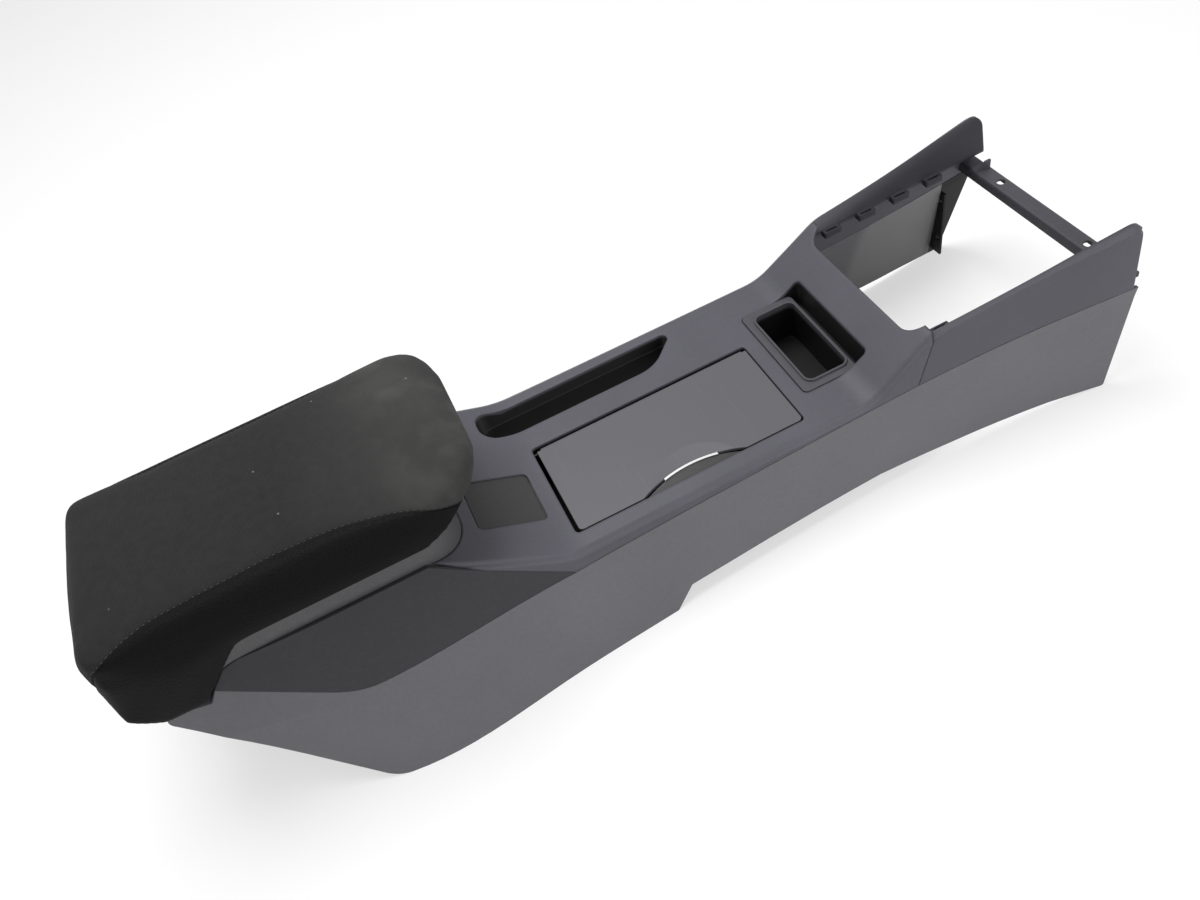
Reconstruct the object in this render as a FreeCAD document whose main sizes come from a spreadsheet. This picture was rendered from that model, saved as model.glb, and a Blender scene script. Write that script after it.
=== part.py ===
import FreeCAD
import Part
import Sketcher
import math
import os

doc = FreeCAD.newDocument("tunnel_console")
sheet = doc.addObject("Spreadsheet::Sheet", "Sizes")
Vector = FreeCAD.Vector
ALONG = Vector(1, 0, 0)
ACROSS = Vector(0, 1, 0)
UP = Vector(0, 0, 1)


class Size:
    """A number together with the spreadsheet expression that gives it."""

    def __init__(self, value, text):
        self.value = float(value)
        self.text = text

    def __add__(self, other):
        other = as_size(other)
        return Size(self.value + other.value, "(%s + %s)" % (self.text, other.text))

    def __radd__(self, other):
        return as_size(other) + self

    def __sub__(self, other):
        other = as_size(other)
        return Size(self.value - other.value, "(%s - %s)" % (self.text, other.text))

    def __rsub__(self, other):
        return as_size(other) - self

    def __mul__(self, other):
        other = as_size(other)
        return Size(self.value * other.value, "(%s * %s)" % (self.text, other.text))

    def __rmul__(self, other):
        return as_size(other) * self

    def __truediv__(self, other):
        other = as_size(other)
        return Size(self.value / other.value, "(%s / %s)" % (self.text, other.text))

    def __neg__(self):
        return Size(-self.value, "(0 - %s)" % self.text)


def as_size(number):
    if isinstance(number, Size):
        return number
    return Size(number, "(%.6f)" % number)


def size(alias, value, note):
    """Write one named value into the sheet."""
    size.row += 1
    sheet.set("A%d" % size.row, note)
    sheet.set("B%d" % size.row, str(value))
    sheet.setAlias("B%d" % size.row, alias)
    return Size(value, "Sizes." + alias)


size.row = 0

TURNS = {
    "XY": FreeCAD.Rotation(),
    "XZ": FreeCAD.Rotation(ALONG, 90),
    "YZ": FreeCAD.Rotation(Vector(1, 1, 1), 120),
}


def bind(obj, path, amount):
    obj.setExpression(path, as_size(amount).text)


def place(obj, at, turn=None):
    """Put an object at three sizes, with an optional turn."""
    at = [as_size(a) for a in at]
    base = Vector(at[0].value, at[1].value, at[2].value)
    obj.Placement = FreeCAD.Placement(base, turn or FreeCAD.Rotation())
    for axis, amount in zip("xyz", at):
        bind(obj, "Placement.Base." + axis, amount)


def outline(name, plane, level, corners):
    """Closed sketch through corners (u, v) or (u, v, radius)."""
    sketch = doc.addObject("Sketcher::SketchObject", name)
    level = as_size(level)
    at = {"XY": (0, 0, level), "XZ": (0, level, 0), "YZ": (level, 0, 0)}[plane]
    place(sketch, at, TURNS[plane])
    corners = [tuple(as_size(c) for c in corner) for corner in corners]
    count = len(corners)
    points = [Vector(c[0].value, c[1].value, 0) for c in corners]
    entry = []
    leave = []
    arcs = []
    for i, corner in enumerate(corners):
        point = points[i]
        if len(corner) < 3:
            entry.append(point)
            leave.append(point)
            arcs.append(None)
            continue
        back = (points[i - 1] - point).normalize()
        ahead = (points[(i + 1) % count] - point).normalize()
        half = back.getAngle(ahead) / 2
        reach = corner[2].value / math.tan(half)
        centre = point + (back + ahead).normalize() * (corner[2].value / math.sin(half))
        entry.append(point + back * reach)
        leave.append(point + ahead * reach)
        convex = back.cross(ahead).z < 0
        first, last = (entry[i], leave[i]) if convex else (leave[i], entry[i])
        start = math.atan2(first.y - centre.y, first.x - centre.x)
        end = math.atan2(last.y - centre.y, last.x - centre.x)
        circle = Part.Circle(centre, UP, corner[2].value)
        arcs.append((Part.ArcOfCircle(circle, start, end if end > start else end + 2 * math.pi), convex))
    lines = [Part.LineSegment(leave[i], entry[(i + 1) % count]) for i in range(count)]
    sketch.addGeometry(lines, False)
    rules = []
    bound = []

    def fix(kind, geometry, vertex, amount):
        bound.append((len(rules), amount))
        rules.append(Sketcher.Constraint(kind, -1, 1, geometry, vertex, amount.value))

    for i, corner in enumerate(corners):
        before = (i - 1) % count
        if arcs[i] is None:
            rules.append(Sketcher.Constraint("Coincident", before, 2, i, 1))
            fix("DistanceX", i, 1, corner[0])
            fix("DistanceY", i, 1, corner[1])
            continue
        arc = sketch.addGeometry(arcs[i][0], False)
        mark = sketch.addGeometry(Part.Point(points[i]), True)
        enter, exit_ = (1, 2) if arcs[i][1] else (2, 1)
        fix("DistanceX", mark, 1, corner[0])
        fix("DistanceY", mark, 1, corner[1])
        rules.append(Sketcher.Constraint("PointOnObject", mark, 1, before))
        rules.append(Sketcher.Constraint("PointOnObject", mark, 1, i))
        rules.append(Sketcher.Constraint("Tangent", before, 2, arc, enter))
        rules.append(Sketcher.Constraint("Tangent", arc, exit_, i, 1))
        bound.append((len(rules), corner[2]))
        rules.append(Sketcher.Constraint("Radius", arc, corner[2].value))
    sketch.addConstraint(rules)
    for index, amount in bound:
        sketch.setExpression("Constraints[%d]" % index, amount.text)
    return sketch


def prism(name, sketch, direction, ahead, behind=0):
    """Solid made by pushing a sketch along a direction."""
    solid = doc.addObject("Part::Extrusion", name)
    solid.Base = sketch
    solid.DirMode = "Custom"
    solid.Dir = direction
    solid.Solid = True
    bind(solid, "LengthFwd", ahead)
    bind(solid, "LengthRev", behind)
    return solid


def across(name, corners, near, far):
    """Solid of an X-Z outline between two Y levels, near below far."""
    return prism(name, outline(name + "_line", "XZ", near, corners), ACROSS, far - near)


def upright(name, corners, low, high):
    """Solid of an X-Y outline between two heights."""
    return prism(name, outline(name + "_line", "XY", low, corners), UP, high - low)


def box(name, low, high):
    """Box between two opposite corners."""
    low = [as_size(a) for a in low]
    solid = doc.addObject("Part::Box", name)
    place(solid, low)
    for path, a, b in zip(("Length", "Width", "Height"), low, high):
        bind(solid, path, b - a)
    return solid


def rod(name, at, direction, radius, length):
    """Round rod from a point along an axis."""
    solid = doc.addObject("Part::Cylinder", name)
    place(solid, at, FreeCAD.Rotation(UP, direction))
    bind(solid, "Radius", radius)
    bind(solid, "Height", length)
    return solid


def cut(name, base, *tools):
    solid = doc.addObject("Part::Cut", name)
    solid.Base = base
    solid.Tool = tools[0] if len(tools) == 1 else fuse(name + "_tools", *tools)
    return solid


def fuse(name, *shapes):
    solid = doc.addObject("Part::MultiFuse", name)
    solid.Shapes = list(shapes)
    solid.Refine = True
    return solid


def common(name, *shapes):
    solid = doc.addObject("Part::MultiCommon", name)
    solid.Shapes = list(shapes)
    return solid


def mirror(name, source):
    solid = doc.addObject("Part::Mirroring", name)
    solid.Source = source
    solid.Normal = ACROSS
    return solid


def rounded(name, base, radius, wanted, kind="Part::Fillet"):
    """Fillet or chamfer on the edges for which wanted(edge) is true."""
    doc.recompute()
    solid = doc.addObject(kind, name)
    solid.Base = base
    edges = base.Shape.Edges
    solid.Edges = [(i + 1, radius.value, radius.value) for i, e in enumerate(edges) if wanted(e)]
    return solid


def loft(name, sections, ruled=False):
    solid = doc.addObject("Part::Loft", name)
    solid.Sections = sections
    solid.Solid = True
    solid.Ruled = ruled
    return solid


def rect(low, high, radius):
    """Corners of a rounded rectangle between two opposite points."""
    return [
        (low[0], low[1], radius),
        (high[0], low[1], radius),
        (high[0], high[1], radius),
        (low[0], high[1], radius),
    ]


# General sizes
wall = size("wall", 3, "thickness of the moulded shells")
gap = size("seam_gap", 0.6, "open seam between neighbouring shells")
fit = size("fit", 0.4, "clearance round parts that drop into openings")
seat = size("seat", 0.1, "clearance between faces that rest on each other")
wide = size("tool_width", 200, "half width of the trimming tools")

# Outer body: half widths at three heights for each station along the length
foot_level = size("foot_level", -10, "height of the lowest row of the body loft")
belt_level = size("belt_level", 95, "height of the middle row of the body loft")
rail_level = size("rail_level", 185, "height of the top row of the body loft")
STATIONS = (
    (-472, 90, 84, 66),
    (-397, 123, 102, 71.5),
    (-327, 150, 115.5, 74.6),
    (-259, 159, 118, 75),
    (-147, 147, 108.5, 78),
    (-42, 136.5, 104.5, 82),
    (63, 126.5, 103.3, 86),
    (163, 119, 102.5, 89.5),
    (263, 116.5, 102.7, 93),
    (373, 122.5, 108, 101),
    (478, 133, 117.5, 111),
)
stations = []
for number, (along, foot, belt, rail) in enumerate(STATIONS, 1):
    stations.append((
        size("station_%d" % number, along, "position of body section"),
        size("foot_half_%d" % number, foot, "half width of the body at the foot row"),
        size("belt_half_%d" % number, belt, "half width of the body at the middle row"),
        size("rail_half_%d" % number, rail, "half width of the body at the top row"),
    ))


def body(name, inset):
    """Smooth solid of the whole console, drawn in from the outer surface by an inset."""
    sections = []
    for number, (along, foot, belt, rail) in enumerate(stations, 1):
        sections.append(outline("%s_%d" % (name, number), "YZ", along, [
            (inset - foot, foot_level),
            (foot - inset, foot_level),
            (belt - inset, belt_level),
            (rail - inset, rail_level),
            (inset - rail, rail_level),
            (inset - belt, belt_level),
        ]))
    return loft(name, sections)


body_outer = body("body_outer", as_size(0))
body_inner = body("body_inner", wall)
body_core = body("body_core", wall + fit)

# Side panels: lower edge, tail and top seam seen from the side
front_foot = size("front_foot_x", 433, "front end of the lower edge")
arch_front = size("arch_front_x", 375, "front point of the raised lower edge")
arch_front_z = size("arch_front_z", 6, "height of the front point")
arch_mid = size("arch_mid_x", 265, "middle point of the raised lower edge")
arch_mid_z = size("arch_mid_z", 12, "height of the middle point")
arch_back = size("arch_back_x", 193, "rear point of the raised lower edge")
notch_z = size("notch_z", 18, "height of the notch in the lower edge")
notch_front = size("notch_front_x", -11, "upper end of the notch slope")
notch_back = size("notch_back_x", -31, "lower end of the notch slope")
tail_foot = size("tail_foot_x", -311, "where the tail leaves the floor")
tail_foot_r = size("tail_foot_r", 30, "rounding where the tail leaves the floor")
tail_end = size("tail_end_x", -449, "rear end of the tail")
tail_top = size("tail_top_z", 131, "height of the flat on the tail")
tail_r = size("tail_r", 6, "rounding of the tail's upper end")
seam_back = size("seam_back_x", -393, "rear end of the panel seam")
seam_back_z = size("seam_back_z", 141, "height of the seam at its rear end")
seam_dip = size("seam_dip_x", -297, "lowest bend of the panel seam")
seam_dip_z = size("seam_dip_z", 93.5, "height of the seam at the bend")
seam_r = size("seam_bend_r", 90, "radius of the seam bend")
seam_mid = size("seam_mid_x", -101, "where shoulder, trim and panel meet")
seam_mid_z = size("seam_mid_z", 91, "height of that point")
seam_ramp = size("seam_ramp_x", 238, "where cheek, trim and panel meet")
seam_ramp_z = size("seam_ramp_z", 101, "height of that point")
seam_front = size("seam_front_x", 457, "front end of the panel seam")
seam_front_z = size("seam_front_z", 104, "height of the seam at the front")
edge_r = size("edge_r", 3, "small rounding of panel corners")

panel_tool = across("panel_tool", [
    (front_foot, 0, edge_r),
    (seam_front, seam_front_z),
    (seam_ramp, seam_ramp_z),
    (seam_mid, seam_mid_z),
    (seam_dip, seam_dip_z, seam_r),
    (seam_back, seam_back_z),
    (seam_back - 8, tail_top),
    (tail_end, tail_top, tail_r),
    (tail_foot, 0, tail_foot_r),
    (notch_back, 0, edge_r),
    (notch_front, notch_z, edge_r),
    (arch_back, notch_z),
    (arch_mid, arch_mid_z),
    (arch_front, arch_front_z),
], -wide, wide)
panel_block = common("panel_block", body_outer, panel_tool)

panel_walls = cut("panel_walls", panel_block, body_inner)
right_half = box("right_half", (-3 * wide, -wide, -wide), (3 * wide, -as_size(10), 2 * wide))
panel_right_wall = common("panel_right_wall", panel_walls, right_half)

# Front return flange of the side panels
flange_x = size("flange_x", 419, "rear face of the front flange")
flange_t = size("flange_t", 2.5, "thickness of the front flange")
flange_half = size("flange_half", 104, "half distance between the flanges")
flange_low = size("flange_low_z", 12, "lower end of the front flange")
flange_high = size("flange_high_z", 92, "upper end of the front flange")
flange_bore = size("flange_bore", 5, "bore of the flange screw holes")
flange_hole_low = size("flange_hole_low_z", 32, "height of the lower flange hole")
flange_hole_high = size("flange_hole_high_z", 80, "height of the upper flange hole")
flange_hole_half = size("flange_hole_half", 109, "half distance between the flange holes")
flange_block = box(
    "flange_block",
    (flange_x, -wide, flange_low),
    (flange_x + flange_t, -flange_half, flange_high),
)
flange_plate = common("flange_plate", flange_block, panel_block)
flange_holes = [
    rod("flange_hole_%d" % n, (flange_x - 5, -flange_hole_half, z), ALONG, flange_bore / 2, flange_t + 10)
    for n, z in enumerate((flange_hole_low, flange_hole_high))
]
panel_flanged = fuse("panel_flanged", panel_right_wall, flange_plate)
side_panel_right = cut("side_panel_right", panel_flanged, *flange_holes)
side_panel_left = mirror("side_panel_left", side_panel_right)

# Rear cover: inclined wall and flat top of the tail, between the side panels
cover_lip = size("cover_lip", 24, "flat foot of the rear cover along the floor")
bin_back = size("bin_back_x", -392, "rear face of the storage bin")
cover_tool = across("cover_tool", [
    (bin_back - fit, tail_top),
    (tail_end, tail_top, tail_r),
    (tail_foot, 0, tail_foot_r),
    (tail_foot + cover_lip, 0),
    (tail_foot + cover_lip, wall),
    (tail_foot + wall * 0.45, wall, tail_foot_r - wall),
    (tail_end + wall * 2.4, tail_top - wall, tail_r - wall),
    (bin_back - fit, tail_top - wall),
], -wide, wide)
cover_soft = common("cover_soft", cover_tool, panel_block)
rear_cover = common("rear_cover", cover_soft, body_core)

# Top profile: rear ramp, deck, front ramp and rails
ramp_top = size("ramp_top_x", -203, "upper end of the rear ramp")
ramp_top_z = size("ramp_top_z", 159, "height of the upper end of the rear ramp")
ramp_foot = size("ramp_foot_x", -95, "lower end of the rear ramp")
ramp_foot_r = size("ramp_foot_r", 60, "rounding at the foot of the rear ramp")
deck_z = size("deck_z", 106, "height of the deck")
rise_foot = size("rise_foot_x", 193, "foot of the front ramp")
rise_foot_r = size("rise_foot_r", 40, "rounding at the foot of the front ramp")
rise_top = size("rise_top_x", 257, "top of the front ramp")
rise_top_z = size("rise_top_z", 151, "height of the top of the front ramp")
rise_top_r = size("rise_top_r", 40, "rounding at the top of the front ramp")
rail_tip = size("rail_tip_x", 454, "front tip of the rails")
rail_tip_z = size("rail_tip_z", 175, "height of the front tip")
rail_tip_r = size("rail_tip_r", 14, "rounding of the front tip")
crease_r = size("crease", 5, "bevel along the outer edge of the top")

top_tool = across("top_tool", [
    (ramp_top + gap, ramp_top_z),
    (seam_mid + gap, seam_mid_z + gap),
    (seam_ramp, seam_ramp_z + gap),
    (seam_front, seam_front_z + gap),
    (rail_tip, rail_tip_z, rail_tip_r),
    (rise_top, rise_top_z, rise_top_r),
    (rise_foot, deck_z, rise_foot_r),
    (ramp_foot, deck_z, ramp_foot_r),
], -wide, wide)
top_block = common("top_block", body_outer, top_tool)


def is_crease(edge):
    bounds = edge.BoundBox
    along = bounds.XLength > 3 and bounds.YLength < 40
    upper = bounds.ZMin > deck_z.value - 1
    return along and upper and bounds.XMax < rail_tip.value - 3


top_soft = rounded("top_soft", top_block, crease_r, is_crease, "Part::Chamfer")

# Storage bin under the armrest
bin_front = size("bin_front_x", -169, "front face of the storage bin")
bin_half = size("bin_half", 83, "half width of the storage bin")
bin_low = size("bin_low_z", 92, "underside of the storage bin")
bin_top = size("bin_top_z", 200, "rim of the storage bin")
bin_wall = size("bin_wall", 2.5, "wall of the storage bin")
bin_front_r = size("bin_front_r", 40, "front corners of the storage bin")
bin_back_r = size("bin_back_r", 8, "rear corners of the storage bin")
bin_bore = size("bin_bore", 5.5, "bore of the bin's floor screws")
bin_hole_x = size("bin_hole_pitch_x", 150, "spacing of the floor screws along the console")
bin_hole_y = size("bin_hole_pitch_y", 100, "spacing of the floor screws across the console")


def bin_line(grow):
    return [
        (bin_back - grow, -bin_half - grow, bin_back_r + grow),
        (bin_front + grow, -bin_half - grow, bin_front_r + grow),
        (bin_front + grow, bin_half + grow, bin_front_r + grow),
        (bin_back - grow, bin_half + grow, bin_back_r + grow),
    ]


bin_outside = upright("bin_outside", bin_line(as_size(0)), bin_low, bin_top)
bin_inside = upright("bin_inside", bin_line(-bin_wall), bin_low + bin_wall, bin_top + 5)
bin_clear = upright("bin_clear", bin_line(fit), bin_low - 50, bin_top + 50)
bin_mid = (bin_front + bin_back) / 2
bin_holes = [
    rod("bin_hole_%d%d" % (i, j), (bin_mid + bin_hole_x / 2 * i, bin_hole_y / 2 * j, bin_low - 5),
        UP, bin_bore / 2, bin_wall + 10)
    for i in (-1, 1) for j in (-1, 1)
]
storage_bin = cut("storage_bin", bin_outside, bin_inside, *bin_holes)

# Shoulders beside the bin
shoulder_top = size("shoulder_top_z", 160, "top edge of the shoulders")
shoulder_back = size("shoulder_back_x", -374, "rear end of the shoulders' top edge")
shoulder_tool = across("shoulder_tool", [
    (seam_back, seam_back_z + gap),
    (seam_dip, seam_dip_z + gap, seam_r),
    (seam_mid, seam_mid_z + gap),
    (ramp_top, ramp_top_z),
    (ramp_top - 2, shoulder_top),
    (shoulder_back, shoulder_top),
], -wide, -as_size(20))
shoulder_block = common("shoulder_block", body_outer, shoulder_tool)
shoulder_right = cut("shoulder_right", shoulder_block, body_inner, bin_clear)
shoulder_left = mirror("shoulder_left", shoulder_right)

# Openings in the top trim
lid_back = size("lid_back_x", -82, "rear edge of the tray lid")
lid_front = size("lid_front_x", 135, "front edge of the tray lid")
lid_right = size("lid_right_y", -81, "right edge of the tray lid")
lid_left = size("lid_left_y", 23, "left edge of the tray lid")
lid_gap = size("lid_gap", 1.5, "gap round the lid at front and right")
lid_gap_left = size("lid_gap_left", 2.5, "gap along the lid's hinge edge")
lid_gap_back = size("lid_gap_back", 4, "gap along the lid's rear edge")
lid_r = size("lid_r", 4, "corner radius of the tray lid")
skirt = size("skirt", 3, "thickness of the skirts round the openings")
slot_back = size("slot_back_x", -121, "rear end of the lever slot")
slot_front = size("slot_front_x", 91, "front point of the lever slot")
slot_near = size("slot_near_y", 51, "inner edge of the lever slot")
slot_far = size("slot_far_y", 86, "outer edge of the lever slot")
slot_turn = size("slot_turn_x", 55, "where the slot's inner edge turns outwards")
slot_turn_r = size("slot_turn_r", 40, "radius of that turn")
slot_back_r = size("slot_back_r", 14, "rear corners of the lever slot")
slot_tip_r = size("slot_tip_r", 6, "front point of the lever slot")
insert_back = size("insert_back_x", 152, "rear edge of the insert tray")
insert_front = size("insert_front_x", 206, "front edge of the insert tray")
insert_half = size("insert_half", 57.5, "half width of the insert tray")
insert_r = size("insert_r", 5, "corner radius of the insert tray")
niche_front = size("niche_front_x", 216, "front wall of the insert's niche")
plate_back = size("plate_back_x", -157, "rear edge of the blank plate")
plate_front = size("plate_front_x", -101, "front edge of the blank plate")
plate_right = size("plate_right_y", -57, "right edge of the blank plate")
plate_left = size("plate_left_y", 0, "left edge of the blank plate")
plate_r = size("plate_r", 5, "corner radius of the blank plate")
lever_back = size("lever_back_x", 243, "rear edge of the gear-lever opening")
lever_half = size("lever_half", 83, "half width of the gear-lever opening")
lever_r = size("lever_r", 18, "corner radius of the gear-lever opening")


def lid_line(grow):
    return [
        (lid_back - lid_gap_back - grow, lid_right - lid_gap - grow, lid_r + grow),
        (lid_front + lid_gap + grow, lid_right - lid_gap - grow, lid_r + grow),
        (lid_front + lid_gap + grow, lid_left + lid_gap_left + grow, lid_r + grow),
        (lid_back - lid_gap_back - grow, lid_left + lid_gap_left + grow, lid_r + grow),
    ]


def slot_line(grow):
    return [
        (slot_back - grow, slot_near - grow, slot_back_r + grow),
        (slot_turn + grow * 0.5, slot_near - grow, slot_turn_r + grow),
        (slot_front + grow * 1.4, slot_far + grow, slot_tip_r + grow),
        (slot_back - grow, slot_far + grow, slot_back_r + grow),
    ]


def niche_line(grow):
    low = (insert_back - fit - grow, -insert_half - fit - grow)
    high = (niche_front + grow, insert_half + fit + grow)
    return rect(low, high, insert_r + grow)


def plate_line(grow):
    low = (plate_back - grow, plate_right - grow)
    high = (plate_front + grow, plate_left + grow)
    return rect(low, high, plate_r + grow)


tool_low = size("tool_low_z", 40, "lower end of the opening tools")
tool_high = size("tool_high_z", 220, "upper end of the opening tools")
lid_open = upright("lid_open", lid_line(as_size(0)), tool_low, tool_high)
slot_open = upright("slot_open", slot_line(as_size(0)), tool_low, tool_high)
niche_open = upright("niche_open", niche_line(as_size(0)), tool_low, tool_high)
plate_open = upright("plate_open", plate_line(fit), tool_low, tool_high)
lever_open = upright(
    "lever_open",
    rect((lever_back, -lever_half), (rail_tip + 60, lever_half), lever_r),
    tool_low,
    tool_high,
)
lid_pad = upright("lid_pad", lid_line(skirt), tool_low, tool_high)
slot_pad = upright("slot_pad", slot_line(skirt), tool_low, tool_high)
niche_pad = upright("niche_pad", niche_line(skirt), tool_low, tool_high)
plate_pad = upright("plate_pad", plate_line(fit + skirt), tool_low, tool_high)

# Top trim
trim_tool = across("trim_tool", [
    (ramp_top - 60, ramp_top_z + 60),
    (ramp_top - 60, 0),
    (seam_ramp - 40, 0),
    (seam_ramp - gap / 2, seam_ramp_z),
    (rise_top - gap / 2, rise_top_z),
    (rise_top + 12, rise_top_z + 30),
], -wide, wide)
trim_block = common("trim_block", top_soft, trim_tool)
void_tool = across("void_tool", [
    (ramp_top - 60, 0),
    (rise_top + 60, 0),
    (rise_top + 60, rise_top_z - wall),
    (rise_top, rise_top_z - wall, rise_top_r),
    (rise_foot, deck_z - wall, rise_foot_r),
    (ramp_foot, deck_z - wall, ramp_foot_r),
    (ramp_top, ramp_top_z - wall),
    (ramp_top - 60, ramp_top_z + 20),
], -wide, wide)
void_core = common("void_core", body_inner, void_tool)
void_trim = cut("void_trim", void_core, lid_pad, slot_pad, niche_pad, plate_pad)
trim_hollow = cut("trim_hollow", trim_block, void_trim)
ring_low = size("ring_low_z", 90, "lower edge of the skirts under the deck")
lid_ring = upright("lid_ring", lid_line(skirt), ring_low, deck_z - 1)
slot_ring = upright("slot_ring", slot_line(skirt), ring_low, deck_z - 1)
niche_ring = upright("niche_ring", niche_line(skirt), ring_low, deck_z - 1)
trim_shell = fuse("trim_shell", trim_hollow, lid_ring, slot_ring, niche_ring)

# Tray lid hinge
bead_r = size("bead_r", 3.5, "radius of the lid's hinge bead")
lid_pin_r = size("lid_pin_r", 1.25, "radius of the lid's hinge pins")
lid_pin_run = size("lid_pin_clearance", 0.05, "running clearance of the lid's pins")
lid_pin_in = size("lid_pin_in", 8, "depth of the pins in the bead")
lid_pin_out = size("lid_pin_out", 2.2, "depth of the pins in the skirt")
axis_y = lid_left - bead_r
axis_z = deck_z - bead_r
pin_back = lid_back - lid_gap_back - lid_pin_out
pin_front = lid_front + lid_gap + lid_pin_out
lid_pin_hole = rod(
    "lid_pin_hole",
    (pin_back - 0.3, axis_y, axis_z),
    ALONG,
    lid_pin_r + lid_pin_run,
    pin_front - pin_back + 0.6,
)
trim_open = cut("trim_open", trim_shell, lid_open, slot_open, niche_open, plate_open, lever_open, bin_clear)
top_trim = cut("top_trim", trim_open, lid_pin_hole)

# Cheeks with crest, inner ledge and clip sockets
cheek_tool = across("cheek_tool", [
    (seam_ramp + gap / 2, seam_ramp_z),
    (seam_ramp + gap / 2, 0),
    (rail_tip + 60, 0),
    (rail_tip + 60, rail_tip_z + 40),
    (rise_top + 12 + gap, rise_top_z + 30),
    (rise_top + gap / 2, rise_top_z),
], -wide, -as_size(20))
cheek_block = common("cheek_block", top_soft, cheek_tool)
void_back = size("cheek_void_back_x", 233, "rear section of the space between the cheeks")
void_front = size("cheek_void_front_x", 471, "front section of the space between the cheeks")
CHEEK_ROWS = (
    ("crest", 92.5, 150, 103.5, 178),
    ("ledge", 84, 140, 96.5, 135),
    ("lip", 84, 137, 96.5, 132),
    ("lip_in", 87, 137, 99.5, 132),
    ("roof_in", 92, 144, 104.5, 169),
    ("roof_out", 98, 144, 110, 169),
    ("skirt", 108, 80, 120, 80),
)
rows = []
for word, back_half, back_z, front_half, front_z in CHEEK_ROWS:
    rows.append((
        size("cheek_%s_back_half" % word, back_half, "half width of the cheeks' inside, rear"),
        size("cheek_%s_back_z" % word, back_z, "its height"),
        size("cheek_%s_front_half" % word, front_half, "half width of the cheeks' inside, front"),
        size("cheek_%s_front_z" % word, front_z, "its height"),
    ))


def cheek_section(name, along, start):
    right = [(-row[start], row[start + 1]) for row in rows]
    left = [(row[start], row[start + 1]) for row in reversed(rows)]
    top = [(rows[0][start], tool_high), (-rows[0][start], tool_high)]
    return outline(name, "YZ", along, right + left + top)


cheek_void = loft(
    "cheek_void",
    [cheek_section("cheek_back", void_back, 0), cheek_section("cheek_front", void_front, 2)],
    True,
)
cheek_space = common("cheek_space", cheek_void, body_inner)
cheek_shell = cut("cheek_shell", cheek_block, cheek_space)
clip_count = 4
clip_first = size("clip_first_x", 271, "centre of the rearmost clip socket")
clip_pitch = size("clip_pitch", 40, "spacing of the clip sockets")
clip_long = size("clip_long", 18, "length of a clip socket")
clip_out = size("clip_out", 6, "how far a clip socket stands out from the ledge")
clip_high = size("clip_high", 7, "height of a clip socket")
clip_slot = size("clip_slot", 2.5, "width of the slot in a clip socket")
clips = []
slots = []
for number in range(clip_count):
    middle = clip_first + clip_pitch * number
    share = (middle - void_back) / (void_front - void_back)
    edge = rows[1][0] + (rows[1][2] - rows[1][0]) * share
    level = rows[1][1] + (rows[1][3] - rows[1][1]) * share
    clips.append(box(
        "clip_%d" % number,
        (middle - clip_long / 2, -edge - 2, level - clip_high),
        (middle + clip_long / 2, clip_out - edge, level - 0.5),
    ))
    slots.append(box(
        "clip_slot_%d" % number,
        (middle - clip_long / 2 + 3, 1.5 - edge, level - clip_high - 1),
        (middle + clip_long / 2 - 3, 1.5 + clip_slot - edge, level + 1),
    ))
cheek_clips = fuse("cheek_clips", cheek_shell, *clips)
cheek_right = cut("cheek_right", cheek_clips, *slots)
cheek_left = mirror("cheek_left", cheek_right)

# Front bridge
bridge_back = size("bridge_back_x", 440, "rear face of the bridge bar")
bridge_front = size("bridge_front_x", 458, "front face of the bridge bar")
bridge_top = size("bridge_top_z", 120, "top of the bridge bar")
bridge_back_low = size("bridge_back_low_z", 109, "lower edge of the rear lip")
bridge_front_low = size("bridge_front_low_z", 113, "lower edge of the front lip")
bridge_t = size("bridge_t", 2.5, "thickness of the bridge bar")
bridge_bore = size("bridge_bore", 8.5, "bore of the bridge's screw holes")
bridge_hole_y = size("bridge_hole_pitch", 118, "spacing of the bridge's screw holes")
gusset_half = size("gusset_half", 84, "half distance between the bridge's gussets")
gusset_top = size("gusset_top_z", 129, "top of the gussets")
bridge_bar = across("bridge_bar", [
    (bridge_back, bridge_back_low),
    (bridge_back + bridge_t, bridge_back_low),
    (bridge_back + bridge_t, bridge_top - bridge_t),
    (bridge_front - bridge_t, bridge_top - bridge_t),
    (bridge_front - bridge_t, bridge_front_low),
    (bridge_front, bridge_front_low),
    (bridge_front, bridge_top, edge_r),
    (bridge_back, bridge_top, edge_r),
], -wide, wide)
gusset = across("gusset_right", [
    (bridge_back + 1, bridge_top - 1),
    (bridge_front - 2, bridge_top - 1),
    (bridge_front - 2, gusset_top),
    (bridge_front - 8, gusset_top),
], -gusset_half - bridge_t, -gusset_half)
gusset_twin = mirror("gusset_left", gusset)
bridge_whole = fuse("bridge_whole", bridge_bar, gusset, gusset_twin)
bridge_trim = common("bridge_trim", bridge_whole, body_core)
bridge_mid = (bridge_back + bridge_front) / 2
bridge_holes = [
    rod("bridge_hole_%d" % n, (bridge_mid, bridge_hole_y / 2 * side, bridge_top - 8),
        UP, bridge_bore / 2, as_size(16))
    for n, side in enumerate((-1, 1))
]
front_bridge = cut("front_bridge", bridge_trim, *bridge_holes)

# Tray box under the lid
tray_low = size("tray_low_z", 48, "underside of the tray box")
tray_wall = size("tray_wall", 2, "wall of the tray box")
tray_outside = upright("tray_outside", lid_line(skirt), tray_low, ring_low - seat)
tray_inside = upright("tray_inside", lid_line(skirt - tray_wall), tray_low + tray_wall, ring_low + 5)
tray_box = cut("tray_box", tray_outside, tray_inside)

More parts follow.
